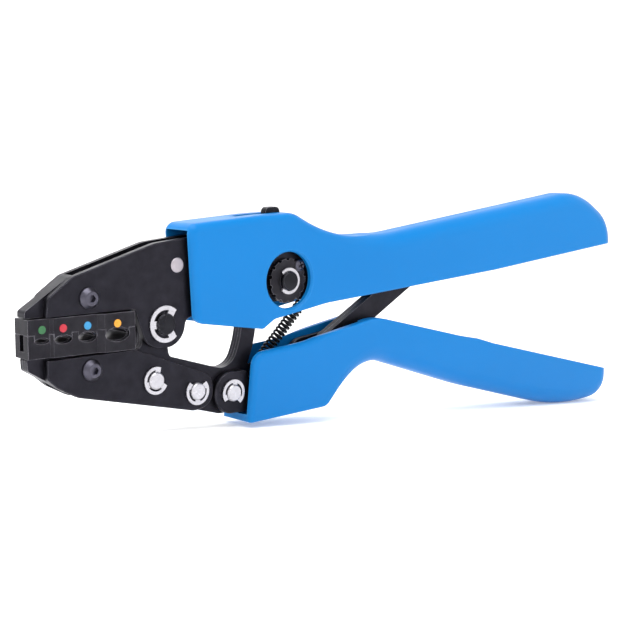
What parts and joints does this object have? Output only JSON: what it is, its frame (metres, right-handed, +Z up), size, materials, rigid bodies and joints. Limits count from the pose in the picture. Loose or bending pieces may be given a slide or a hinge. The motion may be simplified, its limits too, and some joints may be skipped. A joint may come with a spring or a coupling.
{
  "type": "ratchet crimping tool",
  "caption": "Compound-action ratchet crimping tool with an exchangeable multi-nest die set, star-wheel adjuster, release lever and hollow plastic grips.",
  "frame": {"origin": "bottom centre of the bounding box, tool standing on its lower grip with the jaws closed", "axes": "+X from the jaws to the handle ends, +Y across the plates towards the tool's rear side, +Z up"},
  "size_m": [0.2506, 0.015, 0.0785],
  "materials": {
    "black_steel": "black oxide",
    "bright_steel": "zinc plated",
    "screw_steel": "satin",
    "spring_steel": "black oxide",
    "blue_plastic": "satin gloss",
    "green_paint": "gloss",
    "red_paint": "gloss",
    "blue_paint": "gloss",
    "yellow_paint": "gloss"
  },
  "bodies": {
    "frame": {"frame_plate_front": "black_steel", "frame_plate_rear": "black_steel", "nose_block": "black_steel", "upper_die": "black_steel", "dot_green": "green_paint", "dot_red": "red_paint", "dot_blue": "blue_paint", "dot_yellow": "yellow_paint", "upper_die_screw": "screw_steel", "main_pivot_pin": "black_steel", "main_pivot_ring": "bright_steel", "frame_rivet": "bright_steel", "frame_spacer_rivets": "bright_steel", "upper_grip": "blue_plastic", "star_wheel": "black_steel", "eccentric_pin": "black_steel", "eccentric_ring": "bright_steel", "lock_screw": "screw_steel", "strut_anchor_pin": "bright_steel", "spring_pin_upper": "black_steel", "return_spring": "spring_steel", "pawl_spring": "spring_steel"},
    "jaw": {"jaw_core_rear": "black_steel", "jaw_core_middle": "black_steel", "jaw_core_front": "black_steel", "cheek_front": "black_steel", "cheek_rear": "black_steel", "cheek_pins": "bright_steel", "cheek_pin_rings": "bright_steel", "lower_die": "black_steel", "lower_die_screw": "screw_steel", "spring_pin_lower": "black_steel"},
    "handle": {"handle_plate_front": "black_steel", "handle_plate_rear": "black_steel", "lower_grip": "blue_plastic", "handle_pivot_pin": "bright_steel", "handle_pivot_ring": "bright_steel", "strut_pin": "bright_steel", "handle_spacer_rivets": "bright_steel"},
    "strut": {"strut_front": "black_steel", "strut_rear": "black_steel"},
    "release": {"release_lever": "black_steel"}
  },
  "joints": [
    {"name": "jaw_pivot", "type": "hinge", "parent": "frame", "child": "jaw", "pos_m": [-0.07992, 0, 0.03261], "axis": [0, -1, 0], "range_deg": [0, 12.35], "deforming": ["return_spring"]},
    {"name": "handle_pivot", "type": "hinge", "parent": "jaw", "child": "handle", "pos_m": [-0.05338, 0, 0.01099], "axis": [0, 1, 0], "range_deg": [0, 34]},
    {"name": "strut_pivot", "type": "hinge", "parent": "handle", "child": "strut", "pos_m": [-0.01789, 0, 0.02154], "axis": [0, -1, 0], "range_deg": [0, 30.4]},
    {"name": "release_pivot", "type": "hinge", "parent": "frame", "child": "release", "pos_m": [-0.03484, 0, 0.04571], "axis": [0, -1, 0], "range_deg": [0, 16], "stiffness_Nm_per_rad": 0.05, "springref_deg": -8.59}
  ],
  "couplings": [
    {"joint": "jaw_pivot", "follows": "handle_pivot", "ratio": 0.3631},
    {"joint": "strut_pivot", "follows": "handle_pivot", "ratio": 0.894}
  ]
}
